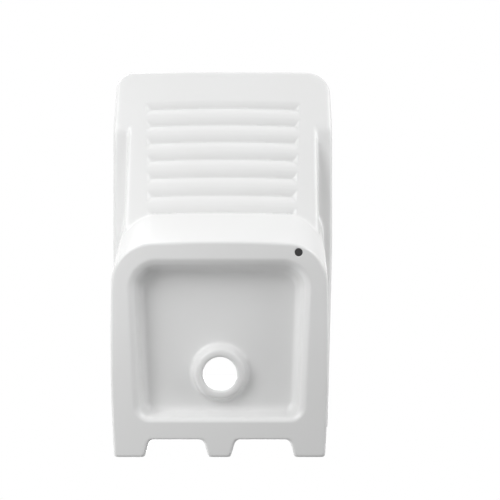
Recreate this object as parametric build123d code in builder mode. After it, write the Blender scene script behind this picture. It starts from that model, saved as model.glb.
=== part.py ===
"""Ceramic laundry sink with a built-in washboard, as its separate castings.

Millimetres. X runs across the sink, Y from the user (-) to the wall (+) and Z up.
The origin is under the middle of the sink, on the face that its foot stands on.
"""
import os
from math import atan2, ceil, cos, degrees, hypot, radians, sin

from build123d import *

os.makedirs("parts", exist_ok=True)

# Overall size
length = 642.0  # front rail to the wall pads
width = 385.6
height = 230.0

# Rim and deck
rim_depth = 66.0  # height of the rim's skirt
rim_seat = 30.0  # top of the rim to its seat on the bowl and the washboard
rim_overhang = 16.3  # outer edge of the rim to the side of the basin, at the seat
rim_crown = 2.0  # bow of the front edge
rim_back_taper = 8.0  # how much each side draws in from mid length to the wall
rim_side_radius = 1500.0  # of the bend at mid length
rim_top_roll = 10.0
rim_mouth_roll = 9.0
rim_under_roll = 8.0
front_rail = 37.0  # outer edge to the trough
deck_depth = 86.0  # wall to the back edge of the bowl
rim_left_corner = 30.0  # front corners
rim_right_corner = 43.0
rim_back_corner = 12.0
deck_joint = 160.0  # wall to the butt joints of rim and deck
deck_skin = 12.0
trough_corner = 20.0  # front corners of the trough
rim_kink_radius = 60.0  # where the underside of the front rail turns up

# Basin block, from the foot up to the rim
side_flare = 10.0  # how much further in each side stands at the foot than at the seat
basin_depth = 331.0  # wall to the front edge of the foot
basin_corner = 62.0
front_crown = 3.0  # bow of the front wall
side_bow = 0.6  # bulge of the sides at mid length
back_taper = 4.6  # how much each side draws in at the wall
ledge_lean = 0.494  # run of the front wall for each mm of rise
china = 12.0  # wall of the bowl and washboard

# Bowl
foot_height = 35.0  # foot face to the underside of the floor
bowl_corner = 48.0
bowl_floor_radius = 22.0
bowl_back_lean = 2.5

# Washboard
board_low = 100.0  # height of its underside where it meets the front wall
board_high = 110.8  # front edge of the rim to where the skirt's underside turns up
board_edge = 6.5  # rounding of its lower long edges
board_cove = 12.0  # rounding between its face and the trough sides
board_joint = 46.0  # front edge of the rim to the washboard's joint
rib_count = 6
rib_stop = 76.8  # last groove to the front edge of the rim, along the slope
rib_start = 0.5  # how far the first groove lies below the washboard's foot
rib_rise = 5.0  # depth of the grooves between the ribs
rib_flat = 0.1  # how much each scallop is flattened at its middle
rib_side_low = 42.0  # side of the base to the ends of the lowest groove
rib_side_high = 29.0  # and of the highest
rib_fade = 9.0  # length over which a groove's end runs out
rib_bow = 4.0  # how far each rib bows to the front at mid length
board_inset = 9.5  # the washboard's sides lie this far inside the basin's

# Foot ring and its recess
foot_wall = 9.0
foot_joint = 20.0  # height of the joint between foot ring and bowl
foot_edge = 3.5
recess_side = 25.0  # side of the foot to the front end of the recess's mouth
recess_back_taper = 11.0  # how much each of its sides draws in at the back
recess_from_front = 27.7
recess_from_wall = 56.3
recess_front_corner = 44.0
recess_back_corner = 24.0
shoulder_depth = 5.5  # soft step just inside the mouth
shoulder_width = 8.0
shoulder_back_width = 4.0
recess_floor_side = 17.0  # mouth to floor at each side
recess_floor_front = 21.0  # and at the front
recess_floor_back = 9.5
recess_floor_taper = 7.5  # how much each side of its floor draws in at the back
recess_floor_corner = 26.0  # its front corners
recess_floor_back_corner = 14.0
recess_floor_radius = 10.0
recess_mouth_roll = 3.5

# Outlet
outlet_from_wall = 125.0
outlet_radius = 26.5
seat_radius = 35.0  # dished seat for the flange of a waste
seat_depth = 7.0
boss_height = 18.0
boss_face_radius = 38.0
boss_root_radius = 46.0
boss_roll = 5.0

# Back casing and wall pads
notch_depth = 27.2  # wall pads stand this proud of the casing
pad_root = 50.0  # width of the middle pad at the casing
pad_end = 34.0  # and at the wall
side_pad_root = 54.5  # side pads, measured from the side of the base
side_pad_end = 47.0
pad_corner = 5.0
pad_root_radius = 9.0  # in the corners between pads and casing

# Vent and its rubber bung
vent_from_side = 45.3
vent_from_front = 16.5
vent_radius = 6.2
bung_clearance = 0.1
bung_length = 14.0
bung_taper = 1.2
bung_sink = 0.3  # how far its head lies inside the foot face
bung_edge = 0.6

# Places worked out from the sizes above
wall_y = length / 2
front_y = -length / 2
top_width = width - 2 * rim_overhang
base_width = top_width - 2 * side_flare
rim_z = height - rim_depth
seat_z = height - rim_seat
foot_front_y = wall_y - basin_depth
bowl_back_y = wall_y - deck_depth
floor_z = foot_height + china
outlet_y = wall_y - outlet_from_wall
casing_y = wall_y - notch_depth
casing_front_y = bowl_back_y + china
board_joint_y = front_y + board_joint
junction_y = foot_front_y - ledge_lean * board_low
kink_y = front_y + board_high
board_slope = atan2(rim_z - board_low, junction_y - kink_y)
rib_length = (junction_y - front_y) / cos(board_slope) - rib_stop + rib_start
rib_pitch = rib_length / rib_count
rib_low_half = base_width / 2 - rib_side_low
rib_high_half = base_width / 2 - rib_side_high
recess_width = base_width - 2 * recess_side
recess_floor_width = recess_width - 2 * recess_floor_side
vent_x = base_width / 2 - vent_from_side
vent_y = foot_front_y + vent_from_front
lean_china = china * hypot(1, ledge_lean)
over = 20.0  # how far cutting shapes run past what they cut
near = 1.0  # an edge that lies off a plane lies at least this far from it


def half_width(z):
    """Half the width of the basin block at height z."""
    return (base_width + (top_width - base_width) * z / seat_z) / 2


def wall_front(z):
    """Y of the front wall's outer face at height z."""
    return foot_front_y - ledge_lean * z


def y_plane(y):
    return Plane(origin=(0, y, 0), x_dir=(1, 0, 0), z_dir=(0, 1, 0))


def is_upright(edge):
    """True for the long edges that run from the foot or the floor to the rim."""
    return edge.bounding_box().size.Z > rim_z / 2


def is_at_side(edge):
    """True for the edges of a shape's two long sides."""
    return abs(edge.center().X) > base_width / 4


def is_outside(edge):
    """True for edges round the front and sides of the rim, clear of the basin under it."""
    return abs(edge.center().X) > top_width / 2 + near or edge.center().Y < front_y + near


def basin_outline(z, inset=0.0):
    """Outline of the basin block at height z, drawn in the open sketch."""
    half = half_width(z) - inset
    radius = basin_corner - inset
    front = wall_front(z) + inset * hypot(1, ledge_lean)
    side_front = front + front_crown
    back_half = half - back_taper
    corner_x = half - radius
    corner_y = side_front + radius
    arc = radius * sin(radians(45))
    middle_y = (corner_y + wall_y) / 2
    past_wall_y = wall_y + over
    with BuildLine() as outline:
        ThreePointArc((-corner_x, side_front), (0, front), (corner_x, side_front))
        ThreePointArc((corner_x, side_front), (corner_x + arc, corner_y - arc), (half, corner_y))
        ThreePointArc((half, corner_y), (half + side_bow, middle_y), (back_half, wall_y))
        Polyline((back_half, wall_y), (back_half, past_wall_y), (-back_half, past_wall_y),
                 (-back_half, wall_y))
        ThreePointArc((-back_half, wall_y), (-half - side_bow, middle_y), (-half, corner_y))
        ThreePointArc((-half, corner_y), (-corner_x - arc, corner_y - arc), (-corner_x, side_front))
    make_face(outline.line)


def flared_block(inset, y_low, y_high, mode=Mode.ADD):
    """Block between the two flared sides of the basin, added to the open part."""
    low = half_width(0) - inset
    high = half_width(height + over) - inset
    with BuildSketch(Plane(origin=(0, y_low, 0), x_dir=(1, 0, 0), z_dir=(0, -1, 0))) as section:
        Polygon((-low, 0), (low, 0), (high, height + over), (-high, height + over), align=None)
    extrude(section.sketch, amount=-(y_high - y_low), mode=mode)


board_normal = Vector(0, sin(board_slope), cos(board_slope))
board_uphill = Vector(0, -cos(board_slope), sin(board_slope))
board_foot = Vector(0, junction_y, board_low)
board_plane = Plane(origin=board_foot, x_dir=(1, 0, 0), z_dir=board_normal)
board_face = Plane(origin=board_foot + board_normal * china, x_dir=(1, 0, 0), z_dir=board_normal)


def recess_level(z, grow=0.0):
    """Outline of the recess under the floor: at its mouth, its shoulder or its floor."""
    half = recess_width / 2
    back = wall_y - recess_from_wall
    front = foot_front_y + recess_from_front
    taper, front_corner, back_corner = recess_back_taper, recess_front_corner, recess_back_corner
    if z == shoulder_depth:
        half -= shoulder_width
        front += shoulder_width
        back -= shoulder_back_width
        front_corner -= shoulder_width
        back_corner -= shoulder_back_width
    if z == foot_height:
        half = recess_floor_width / 2
        front += recess_floor_front
        back -= recess_floor_back
        taper, front_corner, back_corner = recess_floor_taper, recess_floor_corner, recess_floor_back_corner
    with BuildSketch(Plane.XY.offset(z)) as outline:
        half, front, back = half + grow, front - grow, back + grow
        back_half = half - taper
        Polygon((-half, front), (half, front), (back_half, back), (-back_half, back), align=None)
        fillet(outline.vertices().group_by(Axis.Y)[0], front_corner + grow)
        fillet(outline.vertices().group_by(Axis.Y)[-1], back_corner + grow)
    return outline.sketch


# The flutes bow about an axis that stands on the washboard's plane, far down the slope.
rib_radius = (rib_high_half**2 + rib_bow**2) / (2 * rib_bow)
rib_half_angle = degrees(atan2(rib_high_half + rib_fade, rib_radius - rib_bow))
rib_axis = Axis(board_foot - board_uphill * (rib_radius + rib_start), board_normal)
rib_ray = board_uphill.rotate(Axis((0, 0, 0), board_normal), -rib_half_angle)
rib_plane = Plane(origin=rib_axis.position, x_dir=rib_ray, z_dir=rib_ray.cross(board_normal))


def flutes(face, side, ribs, below=0.0):
    """What the flutes take out of the washboard's face at this height above its underside.

    side is 1 for the face on top and -1 for the underside. The scallops meet in sharp
    ridges, and their ends run out to nothing. They may bow below the washboard's foot by
    this much.
    """
    ridge = max(face, face - side * rib_rise)
    outside = face + side * near
    inside = face - side * (rib_rise + near)
    end = rib_radius + ceil(ribs) * rib_pitch
    with BuildPart() as space:
        with BuildSketch(rib_plane):
            with BuildLine():
                for rib in range(ceil(ribs)):
                    low = rib_radius + rib * rib_pitch
                    ThreePointArc((low, ridge), (low + rib_pitch / 2, ridge - rib_rise - rib_flat),
                                  (low + rib_pitch, ridge))
                Polyline((end, ridge), (end, outside), (rib_radius, outside), (rib_radius, ridge))
            make_face()
        revolve(axis=rib_axis, revolution_arc=2 * rib_half_angle)
        for along, half in ((-below, rib_low_half), (ribs * rib_pitch, rib_high_half)):
            wide = half + rib_fade * near / rib_rise
            narrow = half - rib_fade * (rib_rise + near) / rib_rise
            across = Plane(origin=board_foot + board_uphill * along, x_dir=(1, 0, 0), z_dir=board_uphill)
            with BuildSketch(across):
                Polygon((-wide, outside), (wide, outside), (narrow, inside), (-narrow, inside), align=None)
        loft(ruled=True, mode=Mode.INTERSECT)
    return space.part


# Shared shapes: the outside of the basin and of the washboard's box, the space for
# the water, the recess under the floor, the hollows in the foot and the casing, the
# rim with its skirt, and all that sits inside the skirt.
with BuildPart() as basin_form:
    with BuildSketch():
        basin_outline(0)
    with BuildSketch(Plane.XY.offset(seat_z)):
        basin_outline(seat_z)
    loft(ruled=True)

with BuildPart() as board_form:
    flared_block(board_inset, front_y - over, foot_front_y + basin_corner)
    split(bisect_by=board_plane, keep=Keep.TOP)
    underside = board_form.faces().sort_by(Axis(board_foot, board_normal))[0]
    fillet(underside.edges().filter_by(is_at_side), board_edge)

with BuildPart() as bowl_space:
    with BuildSketch(Plane.YZ):
        Polygon((bowl_back_y - bowl_back_lean, floor_z),
                (wall_front(floor_z) + lean_china, floor_z),
                (wall_front(height + over) + lean_china, height + over),
                (bowl_back_y, height + over), align=None)
    extrude(amount=width, both=True)
    flared_block(china, wall_front(height + over), wall_y, mode=Mode.INTERSECT)
    fillet(bowl_space.edges().filter_by(is_upright), bowl_corner)
    fillet(bowl_space.faces().sort_by(Axis.Z)[0].edges(), bowl_floor_radius)

with BuildPart() as trough_space:
    flared_block(china + board_inset, front_y + front_rail, foot_front_y + bowl_corner)
    split(bisect_by=board_face, keep=Keep.TOP)
    fillet(trough_space.faces().sort_by(Axis.Y)[0].edges().filter_by(is_at_side), trough_corner)
    bottom = trough_space.faces().sort_by(Axis(board_foot, board_normal))[0]
    fillet(bottom.edges().filter_by(lambda e: e.center().Y < foot_front_y), board_cove)

with BuildPart() as water_space:
    add(bowl_space.part)
    add(trough_space.part)

with BuildPart() as recess_space:
    loft([recess_level(0), recess_level(shoulder_depth), recess_level(foot_height)], ruled=True)
    fillet(recess_space.faces().sort_by(Axis.Z)[-1].edges(), recess_floor_radius)

with BuildPart() as recess_skin:
    loft([recess_level(0, foot_wall), recess_level(foot_height, foot_wall)], ruled=True)

with BuildPart() as foot_space:
    for level in (foot_wall, foot_height):
        with BuildSketch(Plane.XY.offset(level)):
            basin_outline(level, foot_wall)
    loft(ruled=True)
    split(bisect_by=y_plane(casing_y - foot_wall), keep=Keep.BOTTOM)
    add(recess_skin.part, mode=Mode.SUBTRACT)

with BuildPart() as casing_space:
    flared_block(foot_wall + back_taper, casing_front_y, casing_y - foot_wall)
    split(bisect_by=Plane.XY.offset(floor_z), keep=Keep.TOP)
    split(bisect_by=Plane.XY.offset(height - deck_skin), keep=Keep.BOTTOM)

with BuildPart() as rim_form:
    with BuildSketch(Plane.XY.offset(rim_z)) as rim_outline:
        half, back_half = width / 2, width / 2 - rim_back_taper
        side_front_y = front_y + rim_crown
        with BuildLine() as outline:
            ThreePointArc((-half, side_front_y), (0, front_y), (half, side_front_y))
            Polyline((half, side_front_y), (half, 0), (back_half, wall_y), (-back_half, wall_y),
                     (-half, 0), (-half, side_front_y))
        make_face(outline.line)
        fillet(rim_outline.vertices().group_by(Axis.Y)[-1], rim_back_corner)
        fillet(rim_outline.vertices().filter_by(lambda v: v.Y == 0), rim_side_radius)
        fillet(rim_outline.vertices().sort_by(lambda v: v.Y + v.X)[0], rim_left_corner)
        fillet(rim_outline.vertices().sort_by(lambda v: v.Y - v.X)[0], rim_right_corner)
    extrude(amount=rim_depth)
    split(bisect_by=board_plane, keep=Keep.TOP)
    kink = rim_form.edges().filter_by(Axis.X).sort_by(lambda e: abs(e.center().Y - kink_y))[0]
    fillet(kink, rim_kink_radius)
    add(water_space.part, mode=Mode.SUBTRACT)
    top_face = rim_form.faces().sort_by(Axis.Z)[-1]
    fillet(top_face.outer_wire().edges(), rim_top_roll)
    top_face = rim_form.faces().sort_by(Axis.Z)[-1]
    fillet(top_face.inner_wires()[0].edges(), rim_mouth_roll)
    lower = rim_form.edges().filter_by(lambda e: e.center().Z < height - rim_depth / 2)
    lower = lower.filter_by(Axis.Z, reverse=True)
    lower = lower.filter_by(lambda e: e.center().Y < wall_y - rim_back_corner)
    fillet(lower.filter_by(is_outside), rim_under_roll)

# half a flute more rounds the washboard's underside down to its last groove
under_flutes = flutes(0, -1, rib_count + 0.5, 2 * rib_bow)

with BuildPart() as seated:
    add(basin_form.part)
    add(board_form.part)
    split(bisect_by=Plane.XY.offset(seat_z), keep=Keep.BOTTOM)
    split(bisect_by=y_plane(board_joint_y), keep=Keep.TOP)

# The castings
with BuildPart() as foot_ring:
    add(basin_form.part)
    split(bisect_by=Plane.XY.offset(foot_joint), keep=Keep.BOTTOM)
    split(bisect_by=y_plane(casing_y), keep=Keep.BOTTOM)
    outer_edges = foot_ring.faces().sort_by(Axis.Z)[0].edges()
    fillet(outer_edges.filter_by(lambda e: e.center().Y < casing_y - near), foot_edge)
    add(recess_space.part, mode=Mode.SUBTRACT)
    mouth = foot_ring.faces().sort_by(Axis.Z)[0].inner_wires()[0].edges()
    fillet(mouth, recess_mouth_roll)
    add(foot_space.part, mode=Mode.SUBTRACT)
    with Locations((vent_x, vent_y, 0)):
        Cylinder(vent_radius, 2 * foot_joint, mode=Mode.SUBTRACT)
foot_ring.part.label = "foot_ring"

with BuildPart() as bowl:
    add(basin_form.part)
    add(board_form.part)
    split(bisect_by=Plane.XY.offset(foot_joint), keep=Keep.TOP)
    split(bisect_by=Plane.XY.offset(seat_z), keep=Keep.BOTTOM)
    split(bisect_by=y_plane(junction_y), keep=Keep.TOP)
    split(bisect_by=y_plane(casing_y), keep=Keep.BOTTOM)
    with BuildSketch(Plane.XY.offset(floor_z)):
        with Locations((0, casing_front_y + width / 2)):
            Rectangle(width, width)
    extrude(amount=height, mode=Mode.SUBTRACT)
    add(water_space.part, mode=Mode.SUBTRACT)
    add(recess_space.part, mode=Mode.SUBTRACT)
    add(foot_space.part, mode=Mode.SUBTRACT)
    add(under_flutes, mode=Mode.SUBTRACT)
    # the hollow foot breathes into the casing through a slot behind the recess
    slot_front = wall_y - recess_from_wall - recess_floor_back + foot_wall
    slot_back = casing_y - foot_wall
    with BuildSketch(Plane.XY.offset(foot_height - near)):
        with Locations((0, (slot_front + slot_back) / 2)):
            Rectangle(recess_floor_width - 2 * recess_floor_taper, slot_back - slot_front)
    extrude(amount=china + 2 * near, mode=Mode.SUBTRACT)
    seat_angle = 2 * degrees(atan2(seat_radius - outlet_radius, seat_depth))
    with Locations(Plane((0, outlet_y, floor_z))):
        CounterSinkHole(outlet_radius, seat_radius, counter_sink_angle=seat_angle)
bowl.part.label = "bowl"

with BuildPart() as washboard:
    add(board_form.part)
    add(basin_form.part)
    add(water_space.part, mode=Mode.SUBTRACT)
    add(under_flutes, mode=Mode.SUBTRACT)
    add(flutes(china, 1, rib_count), mode=Mode.SUBTRACT)
    split(bisect_by=Plane.XY.offset(seat_z), keep=Keep.BOTTOM)
    split(bisect_by=y_plane(junction_y), keep=Keep.BOTTOM)
    split(bisect_by=y_plane(board_joint_y), keep=Keep.TOP)
washboard.part.label = "washboard"

with BuildPart() as rim:
    add(rim_form.part)
    split(bisect_by=y_plane(wall_y - deck_joint), keep=Keep.BOTTOM)
    add(seated.part, mode=Mode.SUBTRACT)
rim.part.label = "rim"

with BuildPart() as back_deck:
    add(rim_form.part)
    split(bisect_by=y_plane(wall_y - deck_joint), keep=Keep.TOP)
    add(seated.part, mode=Mode.SUBTRACT)
    add(casing_space.part, mode=Mode.SUBTRACT)
back_deck.part.label = "back_deck"

with BuildPart() as back_casing:
    add(basin_form.part)
    split(bisect_by=Plane.XY.offset(floor_z), keep=Keep.TOP)
    split(bisect_by=y_plane(casing_front_y), keep=Keep.TOP)
    split(bisect_by=y_plane(casing_y), keep=Keep.BOTTOM)
    add(casing_space.part, mode=Mode.SUBTRACT)
back_casing.part.label = "back_casing"

with BuildPart() as outlet_boss:
    with BuildSketch(Plane.XZ.offset(-outlet_y)):
        face_z = foot_height - boss_height
        with BuildLine():
            Polyline((outlet_radius, foot_height), (outlet_radius, face_z), (boss_face_radius, face_z),
                     (boss_root_radius, foot_height), close=True)
        make_face()
    revolve(axis=Axis((0, outlet_y, 0), (0, 0, 1)))
    rings = outlet_boss.edges().filter_by(GeomType.CIRCLE).group_by(Axis.Z)[0].sort_by(SortBy.RADIUS)
    fillet(rings[-1], boss_roll)
outlet_boss.part.label = "outlet_boss"


def pad_sides(place, inset=0.0):
    """X of a wall pad's two sides, each at the casing and at the wall."""
    if place == 0:
        root, end = pad_root / 2 - inset, pad_end / 2 - inset
        return (-root, -end), (root, end)
    base_half = base_width / 2 - back_taper
    inner = (base_half - side_pad_root + inset, base_half - side_pad_end + inset)
    outer = (base_half + width * (inset == 0) - inset,) * 2
    if place > 0:
        return inner, outer
    return tuple(-x for x in outer), tuple(-x for x in inner)


def pad_plan(sides, end_y):
    """Plan of a wall pad from the casing to end_y, drawn in the open sketch."""
    left, right = sides
    Polygon((left[0], casing_y), (right[0], casing_y), (right[1], end_y), (left[1], end_y), align=None)


def is_pad_root(corner):
    """True for the inside corners between a pad's plan and the casing."""
    return abs(corner.Y - casing_y) < near and abs(corner.X) < base_width / 2 - back_taper


wall_pads = {}
for pad_name, place in (("wall_pad_left", -1), ("wall_pad_centre", 0), ("wall_pad_right", 1)):
    with BuildPart() as wall_pad:
        add(basin_form.part)
        split(bisect_by=y_plane(casing_y), keep=Keep.TOP)
        with BuildSketch() as plan:
            pad_plan(pad_sides(place), wall_y)
            with Locations((0, casing_y - foot_wall / 2)):
                Rectangle(4 * width, foot_wall)
            fillet(plan.vertices().filter_by(is_pad_root), pad_root_radius)
        extrude(amount=seat_z, mode=Mode.INTERSECT)
        wall_face = wall_pad.faces().sort_by(Axis.Y)[-1]
        fillet(wall_face.edges().filter_by(is_upright), pad_corner)
        foot_edges = wall_pad.faces().sort_by(Axis.Z)[0].edges()
        fillet(foot_edges.filter_by(lambda e: e.center().Y > casing_y + near), foot_edge)
        with BuildSketch(Plane.XY.offset(foot_wall)):
            pad_plan(pad_sides(place, foot_wall), wall_y - foot_wall)
        extrude(amount=seat_z - 2 * foot_wall, mode=Mode.SUBTRACT)
    wall_pad.part.label = pad_name
    wall_pads[pad_name] = wall_pad.part

with BuildPart() as vent_bung:
    with BuildSketch(Plane.XZ.offset(-vent_y)):
        bung_radius = vent_radius - bung_clearance
        with Locations((vent_x, 0)):
            Polygon((0, bung_sink), (bung_radius, bung_sink),
                    (bung_radius - bung_taper, bung_sink + bung_length),
                    (0, bung_sink + bung_length), align=None)
    revolve(axis=Axis((vent_x, vent_y, 0), (0, 0, 1)))
    chamfer(vent_bung.edges().filter_by(GeomType.CIRCLE), bung_edge)
vent_bung.part.label = "vent_bung"

castings = {"foot_ring": foot_ring.part, "bowl": bowl.part, "washboard": washboard.part, "rim": rim.part,
            "back_deck": back_deck.part, "back_casing": back_casing.part, "outlet_boss": outlet_boss.part}
for name, piece in {**castings, **wall_pads, "vent_bung": vent_bung.part}.items():
    export_step(piece, f"parts/{name}.step")
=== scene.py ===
"""Looks of a white ceramic laundry sink, seen from below as in the photograph. Metres."""

from math import atan2, cos, pi, radians, sin

import bmesh
import bpy
import numpy as np
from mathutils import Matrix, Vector


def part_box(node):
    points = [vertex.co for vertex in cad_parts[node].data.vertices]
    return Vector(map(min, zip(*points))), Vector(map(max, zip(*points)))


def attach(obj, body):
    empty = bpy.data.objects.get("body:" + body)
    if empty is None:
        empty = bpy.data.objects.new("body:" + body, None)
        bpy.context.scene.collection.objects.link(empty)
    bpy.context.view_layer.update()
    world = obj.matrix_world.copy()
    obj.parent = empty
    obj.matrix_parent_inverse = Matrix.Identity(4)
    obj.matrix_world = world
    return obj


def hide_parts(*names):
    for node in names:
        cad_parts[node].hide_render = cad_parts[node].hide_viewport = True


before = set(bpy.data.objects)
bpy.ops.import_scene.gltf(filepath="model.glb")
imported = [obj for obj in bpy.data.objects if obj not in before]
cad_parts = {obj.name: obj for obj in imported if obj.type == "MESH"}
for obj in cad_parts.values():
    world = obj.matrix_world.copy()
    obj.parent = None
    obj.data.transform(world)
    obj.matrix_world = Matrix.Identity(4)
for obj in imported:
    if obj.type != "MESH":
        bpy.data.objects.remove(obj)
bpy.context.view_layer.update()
bpy.ops.object.select_all(action="DESELECT")
scene = bpy.context.scene

CASTINGS = [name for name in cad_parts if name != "vent_bung"]
FULL_VOXEL = 0.0023  # size of the skin's faces
VOXEL = FULL_VOXEL


# ---- Camera, straight up under the sink ----
CAMERA_PLACE = (0.0386, 0.003, -1.137)
FOCAL_PIXELS = 743.0
IMAGE_PIXELS = 500.0
AXIS_PIXEL = 244.7  # the lens axis stands left of the middle of the picture

camera_data = bpy.data.cameras.new("camera")
camera_data.sensor_width = 36.0
camera_data.lens = FOCAL_PIXELS * camera_data.sensor_width / IMAGE_PIXELS
camera_data.shift_x = 0.5 - AXIS_PIXEL / IMAGE_PIXELS
camera_data.clip_end = 50
camera = bpy.data.objects.new("camera", camera_data)
camera.location = CAMERA_PLACE
camera.rotation_euler = (pi, 0, 0)
scene.collection.objects.link(camera)
scene.camera = camera
scene.view_settings.view_transform = "Standard"


# ---- Shader maths ----
class Socket:
    """A shader value that takes part in Python expressions."""

    def __init__(self, tree, output):
        self.tree = tree
        self.output = output

    def math(self, operation, *others):
        return node(self.tree, "ShaderNodeMath", {"operation": operation}, self, *others)

    def __add__(self, other):
        return self.math("ADD", other)

    __radd__ = __add__

    def __mul__(self, other):
        return self.math("MULTIPLY", other)

    __rmul__ = __mul__

    def __sub__(self, other):
        return self.math("SUBTRACT", other)

    def __rsub__(self, other):
        return constant(self.tree, other) - self


def constant(tree, value):
    return node(tree, "ShaderNodeMath", {"operation": "ADD"}, value, 0.0)


def node(tree, kind, settings, *values, output=0, **named):
    """A shader node with its settings made first and then its inputs, by place or by name."""
    made = tree.nodes.new(kind)
    for name, value in settings.items():
        setattr(made, name, value)
    for key, value in list(enumerate(values)) + list(named.items()):
        socket = made.inputs[key.replace("_", " ") if isinstance(key, str) else key]
        if isinstance(value, Socket):
            tree.links.new(value.output, socket)
        elif value is not None:
            socket.default_value = value
    return None if output is None else Socket(tree, made.outputs[output])


def new_material(name):
    material = bpy.data.materials.new(name)
    material.use_nodes = True
    shader = material.node_tree.nodes["Principled BSDF"]
    return material, material.node_tree, shader


def glaze():
    """Clear glossy glaze over white china: faint waves, fine orange peel, a few soft clouds."""
    material, tree, shader = new_material("white_glaze")
    place = node(tree, "ShaderNodeTexCoord", {}, output=3)
    waves = node(tree, "ShaderNodeTexNoise", {}, Vector=place, Scale=14.0, Detail=1.0)
    peel = node(tree, "ShaderNodeTexNoise", {}, Vector=place, Scale=330.0, Detail=1.0)
    clouds = node(tree, "ShaderNodeTexNoise", {}, Vector=place, Scale=7.0, Detail=2.0)
    relief = waves + peel * 0.03
    bump = node(tree, "ShaderNodeBump", {}, Strength=0.25, Distance=0.001, Height=relief)
    colour = node(tree, "ShaderNodeMix", {"data_type": "RGBA"}, output=2)
    mix = colour.output.node
    mix.inputs[6].default_value = (0.80, 0.80, 0.795, 1)
    mix.inputs[7].default_value = (0.83, 0.835, 0.835, 1)
    tree.links.new(clouds.output, mix.inputs[0])
    tree.links.new(colour.output, shader.inputs["Base Color"])
    tree.links.new((0.20 + clouds * 0.06).output, shader.inputs["Roughness"])
    tree.links.new(bump.output, shader.inputs["Normal"])
    shader.inputs["IOR"].default_value = 1.5
    return material


# Painted shade: a near-black bung that stands in for the shade inside the vent hole, with a fine
# grain bump and rough finish.
def painted_shade_bung():
    material, tree, shader = new_material("painted_vent_shade")
    place = node(tree, "ShaderNodeTexCoord", {}, output=3)
    grain = node(tree, "ShaderNodeTexNoise", {}, Vector=place, Scale=900.0, Detail=3.0)
    bump = node(tree, "ShaderNodeBump", {}, Strength=0.3, Distance=0.0002, Height=grain)
    tree.links.new((0.55 + grain * 0.2).output, shader.inputs["Roughness"])
    tree.links.new(bump.output, shader.inputs["Normal"])
    shader.inputs["Base Color"].default_value = (0.012, 0.012, 0.013, 1)
    return material


# ---- The glazed skin over all the castings ----
def select_only(*pieces):
    bpy.ops.object.select_all(action="DESELECT")
    for piece in pieces:
        piece.select_set(True)
    bpy.context.view_layer.objects.active = pieces[-1]


def copy_of(piece, name):
    twin = piece.copy()
    twin.data = piece.data.copy()
    twin.name = name
    scene.collection.objects.link(twin)
    return twin


def apply(piece, kind, name="step", **settings):
    """Add one modifier to the piece and apply it."""
    select_only(piece)
    step = piece.modifiers.new(name, kind)
    for setting, value in settings.items():
        setattr(step, setting, value)
    bpy.ops.object.modifier_apply(modifier=name)


def corners(piece):
    """The piece's vertices as an array, one row each."""
    flat = np.empty(len(piece.data.vertices) * 3)
    piece.data.vertices.foreach_get("co", flat)
    return flat.reshape(-1, 3)


def vent_cylinder(radius, low, high):
    """A cylinder on the vent's axis."""
    bung_low, bung_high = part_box("vent_bung")
    middle = (bung_low + bung_high) / 2
    bpy.ops.object.select_all(action="DESELECT")
    bpy.ops.mesh.primitive_cylinder_add(vertices=64, radius=radius, depth=high - low,
                                        location=(middle.x, middle.y, (low + high) / 2))
    bpy.ops.object.transform_apply()
    return bpy.context.object


VENT_RADIUS = 0.0062
PLUG_MARGIN = 0.002  # how far the plug that stops the vent reaches into the foot round it
FOOT_WALL = 0.009
BORE_RUN = 0.01  # how far the vent's bore runs out below the foot
BORE_END = 0.012  # and how high it goes

# The washboard's flutes: where the slope kinks, how many there are up to it, and their size
KINK_Y = -0.2102
FLUTES = 6.5
FLUTE_PITCH = 0.034646
FLUTE_DEPTH = 0.005
FLUTE_FLAT = 0.0001
FLUTE_START = 0.0005  # how far the first groove lies below the board's foot
FLUTE_BOW_RADIUS = 2.3653
FLUTE_FADE = 0.009  # length over which a groove's end runs out
FLUTE_HALF_LOW = 0.1245  # half the width that they cover at the board's foot
FLUTE_HALF_HIGH = 0.1375  # and at the top
FLUTE_REACH = 0.0008  # the skin that lies this near the flutes, up or down, is theirs
FLUTE_SIDE_REACH = 0.002

# In rows of the skin's vertices: how near a groove a row is drawn onto it, how far round
# it the other rows are spread out to make room, and how near together the drawn ones merge
DRAWN_IN = 0.52
FIRST_ROW = 0.6
LAST_ROW = 1.5
MERGED_IN = 0.7

board_low, board_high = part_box("washboard")
rim_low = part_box("rim")[0]
board_foot = np.array((0, board_high.y, board_low.z))
slope = atan2(rim_low.z - board_low.z, board_high.y - KINK_Y)
uphill = np.array((0, -cos(slope), sin(slope)))
normal = np.array((0, sin(slope), cos(slope)))
sideways = np.array((1, 0, 0))


def place_corners(piece, places):
    """Move the piece's vertices to these places."""
    piece.data.vertices.foreach_set("co", places.ravel())
    piece.data.update()


def merge_close(piece, chosen, distance):
    """Merge the chosen vertices that lie closer together than this."""
    shape = bmesh.new()
    shape.from_mesh(piece.data)
    shape.verts.ensure_lookup_table()
    rows = [shape.verts[index] for index in np.nonzero(chosen)[0]]
    bmesh.ops.remove_doubles(shape, verts=rows, dist=distance)
    shape.to_mesh(piece.data)
    shape.free()


def groove_depth(share):
    """Depth of a flute's face in the board, at this share of the way from groove to groove."""
    rise = FLUTE_DEPTH + FLUTE_FLAT
    radius = (FLUTE_PITCH**2 / 4 + rise**2) / (2 * rise)
    arc = np.sqrt(radius**2 - ((share - 0.5) * FLUTE_PITCH) ** 2) - (radius - rise)
    return FLUTE_DEPTH - arc


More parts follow.
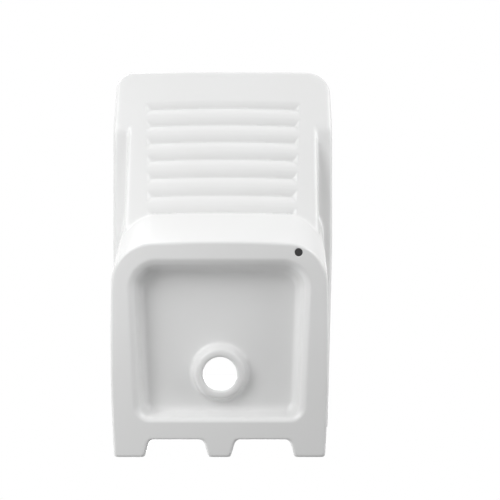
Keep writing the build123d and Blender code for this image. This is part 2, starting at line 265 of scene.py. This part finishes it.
def true_flutes(skin):
    """Put the washboard's underside onto its flutes, with a row of vertices along every groove."""
    places = corners(skin)
    across = places[:, 0]
    along = (places - board_foot) @ uphill
    above = (places - board_foot) @ normal
    back = along + FLUTE_BOW_RADIUS + FLUTE_START
    reach = np.hypot(across, back)
    run = reach - FLUTE_BOW_RADIUS
    half = FLUTE_HALF_LOW + (FLUTE_HALF_HIGH - FLUTE_HALF_LOW) * along / (FLUTES * FLUTE_PITCH)
    on_board = abs(above - FLUTE_DEPTH / 2) < FLUTE_DEPTH / 2 + FLUTE_REACH
    on_board &= abs(across) < half + FLUTE_SIDE_REACH
    on_board &= (run > VOXEL / 3) & (along < FLUTES * FLUTE_PITCH)

    groove = np.round(run / FLUTE_PITCH)
    off = run - groove * FLUTE_PITCH
    row = VOXEL / cos(slope)
    close = on_board & (abs(off) < LAST_ROW * row) & (groove > 0)
    drawn = close & (abs(off) < DRAWN_IN * row)
    spread = (LAST_ROW - FIRST_ROW) / (LAST_ROW - DRAWN_IN)
    pushed = np.sign(off) * (FIRST_ROW + (abs(off) / row - DRAWN_IN) * spread) * row
    shift = np.where(close, np.where(drawn, 0.0, pushed) - off, 0)

    share = np.where(drawn, 0.0, ((run + shift) / FLUTE_PITCH) % 1.0)
    run_out = FLUTE_DEPTH * (half - abs(across)) / FLUTE_FADE
    depth = np.maximum(np.minimum(groove_depth(share), run_out), 0)
    lift = np.where(on_board, depth - above, 0)
    away = across[:, None] * sideways + back[:, None] * uphill
    place_corners(skin, places + (shift / reach)[:, None] * away + lift[:, None] * normal)
    merge_close(skin, drawn, MERGED_IN * VOXEL)


def soft_step(value, low, high):
    """0 below low, 1 above high, and a soft slope between them."""
    share = np.clip((value - low) / (high - low), 0, 1)
    return share * share * (3 - 2 * share)


# The cove between the washboard's box and the rim's skirt: where it begins and is full,
# from the middle out, from the wall to the front, and up
COVE_INNER = (0.166, 0.172)
COVE_OUTER = (0.184, 0.191)
COVE_BACK = (-0.075, -0.045)
COVE_FRONT = (-0.300, -0.285)
COVE_TOP = (0.195, 0.21)
COVE_REPEATS = 26  # smoothing steps on the full skin


def soften_coves(skin):
    """Smooth the skin in the cove between the washboard's box and the rim's skirt."""
    x, y, z = corners(skin).T
    side = abs(x)
    weights = soft_step(side, *COVE_INNER) * (1 - soft_step(side, *COVE_OUTER))
    weights *= soft_step(y, *COVE_FRONT) * (1 - soft_step(y, *COVE_BACK))
    weights *= 1 - soft_step(z, *COVE_TOP)
    group = skin.vertex_groups.new(name="cove")
    for index in np.nonzero(weights > 0.01)[0]:
        group.add([int(index)], float(weights[index]), "REPLACE")
    repeats = round(COVE_REPEATS * (FULL_VOXEL / VOXEL) ** 2)
    apply(skin, "SMOOTH", factor=0.5, iterations=repeats, vertex_group="cove")
    skin.vertex_groups.clear()


# The flat wall of the casing between the pads
PANEL_REACH = 0.0025
PANEL_HALF = 0.115
PANEL_LOW = 0.004
PANEL_HIGH = 0.19


def flatten_casing(skin):
    """Take the faint marks of the joints out of the flat wall between the pads."""
    places = corners(skin)
    x, y, z = places.T
    wall_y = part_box("back_casing")[1].y
    panel = (abs(y - wall_y) < PANEL_REACH) & (abs(x) < PANEL_HALF)
    panel &= (z > PANEL_LOW) & (z < PANEL_HIGH)
    places[panel, 1] = wall_y
    place_corners(skin, places)


def bore_vent(skin):
    """Open the vent through the foot."""
    bore = vent_cylinder(VENT_RADIUS, -BORE_RUN, BORE_END)
    apply(skin, "BOOLEAN", operation="DIFFERENCE", solver="MANIFOLD", object=bore)
    bpy.data.objects.remove(bore)


def glazed_skin():
    """One skin over the joined castings. A plug shuts the hollow foot until the vent is bored."""
    plug = vent_cylinder(VENT_RADIUS + PLUG_MARGIN, 0, FOOT_WALL)
    castings = [copy_of(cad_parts[name], "casting") for name in CASTINGS]
    select_only(plug, *castings)
    bpy.ops.object.join()
    skin = bpy.context.object
    skin.name = "glazed_skin"
    bpy.ops.object.mode_set(mode="EDIT")
    bpy.ops.mesh.select_all(action="SELECT")
    bpy.ops.mesh.remove_doubles(threshold=1e-6)
    bpy.ops.object.mode_set(mode="OBJECT")
    apply(skin, "REMESH", mode="VOXEL", voxel_size=VOXEL)
    apply(skin, "SMOOTH", factor=0.5, iterations=3)
    soften_coves(skin)
    true_flutes(skin)
    flatten_casing(skin)
    bore_vent(skin)
    skin.data.materials.clear()
    skin.data.materials.append(glaze())
    bpy.ops.object.shade_smooth()
    return skin


def block(low, high):
    """A box from one corner to the other, past the sink where a side is None."""
    low = [-1.0 if side is None else side for side in low]
    high = [1.0 if side is None else side for side in high]
    bpy.ops.object.select_all(action="DESELECT")
    bpy.ops.mesh.primitive_cube_add(size=1, location=[(a + b) / 2 for a, b in zip(low, high)])
    cutter = bpy.context.object
    cutter.scale = [b - a for a, b in zip(low, high)]
    bpy.ops.object.transform_apply()
    return cutter


def arch(y_low, y_high, side, foot, top):
    """A long block over the sink with two legs that reach down outside the basin's walls."""
    outline = ((-1, foot), (-side, foot), (-side, top), (side, top),
               (side, foot), (1, foot), (1, 1), (-1, 1))
    points = [(x, y, z) for y in (y_low, y_high) for x, z in outline]
    count = len(outline)
    faces = [tuple(range(count)), tuple(reversed(range(count, 2 * count)))]
    faces += [(i, i + count, (i + 1) % count + count, (i + 1) % count) for i in range(count)]
    mesh = bpy.data.meshes.new("arch")
    mesh.from_pydata(points, [], faces)
    cutter = bpy.data.objects.new("arch", mesh)
    scene.collection.objects.link(cutter)
    select_only(cutter)
    bpy.ops.object.mode_set(mode="EDIT")
    bpy.ops.mesh.select_all(action="SELECT")
    bpy.ops.mesh.normals_make_consistent(inside=False)
    bpy.ops.object.mode_set(mode="OBJECT")
    return cutter


def boss_cutter():
    """A drum that holds the outlet boss, from the recess floor down."""
    low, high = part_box("outlet_boss")
    bpy.ops.object.select_all(action="DESELECT")
    bpy.ops.mesh.primitive_cylinder_add(vertices=96, radius=(high.x - low.x) / 2, depth=high.z,
                                        location=(0, (low.y + high.y) / 2, high.z / 2))
    bpy.ops.object.transform_apply()
    return bpy.context.object


def match_shading(piece, whole):
    """Shade the piece as the whole skin is shaded, so that no line shows where pieces meet."""
    select_only(piece)
    bpy.ops.object.shade_smooth_by_angle(angle=radians(40))
    apply(piece, "DATA_TRANSFER", object=whole, use_loop_data=True,
          data_types_loops={"CUSTOM_NORMAL"}, loop_mapping="POLYINTERP_NEAREST")


def cut_out(skin, cutter):
    """Take the part of the skin inside the cutter away as a closed piece of its own."""
    piece = copy_of(skin, "cut")
    apply(piece, "BOOLEAN", operation="INTERSECT", solver="MANIFOLD", object=cutter)
    apply(skin, "BOOLEAN", operation="DIFFERENCE", solver="MANIFOLD", object=cutter)
    bpy.data.objects.remove(cutter)
    return piece


skin = glazed_skin()
whole = copy_of(skin, "whole_skin")
deck_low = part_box("back_deck")[0]
casing_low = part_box("back_casing")[0]
foot_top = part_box("foot_ring")[1].z
pad_low, pad_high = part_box("wall_pad_centre")
pad_gap = (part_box("wall_pad_right")[0].x + pad_high.x) / 2
seat = board_high.z
SKIRT_SIDE = 0.166  # in the middle of the basin's side walls

glazed = {
    "back_deck": cut_out(skin, arch(deck_low.y, 1, SKIRT_SIDE, deck_low.z, seat)),
    "wall_pad_left": cut_out(skin, block((None, pad_low.y, None), (-pad_gap, None, None))),
    "wall_pad_right": cut_out(skin, block((pad_gap, pad_low.y, None), (None, None, None))),
    "wall_pad_centre": cut_out(skin, block((None, pad_low.y, None), (None, None, None))),
}
rail = cut_out(skin, block((None, None, None), (None, board_low.y, None)))
band = cut_out(skin, arch(-1, 1, SKIRT_SIDE, rim_low.z, seat))
select_only(rail, band)
bpy.ops.object.join()
glazed["rim"] = band
glazed["washboard"] = cut_out(skin, block((None, None, None), (None, board_high.y, None)))
glazed["outlet_boss"] = cut_out(skin, boss_cutter())
glazed["foot_ring"] = cut_out(skin, block((None, None, None), (None, None, foot_top)))
glazed["back_casing"] = cut_out(skin, block((None, casing_low.y, casing_low.z), (None, None, None)))
glazed["bowl"] = skin
for node_name, piece in glazed.items():
    piece.name = node_name + "_glazed"
    match_shading(piece, whole)
    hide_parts(node_name)
    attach(piece, "sink")
bpy.data.objects.remove(whole)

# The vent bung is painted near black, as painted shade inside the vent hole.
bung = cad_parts["vent_bung"]
bung.material_slots[0].material = painted_shade_bung()


# ---- Floor, seen only from above, that fades into the white round it ----
FLOOR_RADIUS = 1.3
FLOOR_TOP = -0.0006  # just under the foot
FADE_START = 0.45
FADE_END = 1.25

bpy.ops.object.select_all(action="DESELECT")
bpy.ops.mesh.primitive_circle_add(vertices=96, radius=FLOOR_RADIUS, fill_type="NGON",
                                  location=(0, 0, FLOOR_TOP))
floor = bpy.context.object
floor.name = "floor"
bpy.ops.object.transform_apply()
floor_material = bpy.data.materials.new("pale_floor")
floor_material.use_nodes = True
floor_tree = floor_material.node_tree
floor_tree.nodes.clear()
paint = node(floor_tree, "ShaderNodeBsdfDiffuse", {}, Color=(0.92, 0.92, 0.92, 1))
clear = node(floor_tree, "ShaderNodeBsdfTransparent", {})
camera_ray = node(floor_tree, "ShaderNodeLightPath", {}, output=0)
underside = node(floor_tree, "ShaderNodeNewGeometry", {}, output=6)
spot = node(floor_tree, "ShaderNodeTexCoord", {}, output=3)
reach = node(floor_tree, "ShaderNodeVectorMath", {"operation": "LENGTH"}, spot, output=1)
fade = node(floor_tree, "ShaderNodeMapRange", {"interpolation_type": "SMOOTHSTEP"},
            reach, FADE_START, FADE_END, 1.0, 0.0)
painted = camera_ray * (1 - underside) * fade
mixed = node(floor_tree, "ShaderNodeMixShader", {}, painted, clear, paint)
node(floor_tree, "ShaderNodeOutputMaterial", {}, mixed, output=None)
floor.data.materials.append(floor_material)


# ---- Light ----
AIM = (0, 0, 0.1)
AMBIENT = 0.18  # what the white round the sink lights it with


def softbox(name, azimuth, elevation, watts, distance=2.0, size=1.3):
    """A square area lamp that looks at the sink from this direction, in degrees.

    Azimuths turn from the sink's right to the wall.
    """
    around, up = radians(azimuth), radians(elevation)
    towards = Vector((cos(up) * cos(around), cos(up) * sin(around), sin(up)))
    data = bpy.data.lights.new(name, "AREA")
    data.shape = "SQUARE"
    data.size = size
    data.energy = watts
    lamp = bpy.data.objects.new(name, data)
    lamp.location = Vector(AIM) + towards * distance
    lamp.rotation_euler = (-towards).to_track_quat("-Z", "Y").to_euler()
    scene.collection.objects.link(lamp)


softbox("key", 222, -34, 22.3)
softbox("left_under_fill", 180, -52, 1.2, distance=0.9, size=0.6)
softbox("front_left_fill", 240, 20, 14.7)
softbox("front_right_fill", 324, -10, 16.2)
softbox("front_right_under_fill", 315, -35, 5.95)
softbox("right_fill", 0, -10, 8.0)
softbox("back_left_fill", 144, -10, 10.2)
softbox("overhead", 80, 76, 13)

world = bpy.data.worlds.new("white_studio")
scene.world = world
world.use_nodes = True
tree = world.node_tree
background = tree.nodes["Background"]
background.inputs["Color"].default_value = (1, 1, 1, 1)
seen = node(tree, "ShaderNodeLightPath", {}, output=0)
mirrored = Socket(tree, seen.output.node.outputs["Is Glossy Ray"])
through = Socket(tree, seen.output.node.outputs["Is Transmission Ray"])
white = (seen + mirrored + through).math("MINIMUM", 1.0)
strength = white * (1 - AMBIENT) + AMBIENT
tree.links.new(strength.output, background.inputs["Strength"])
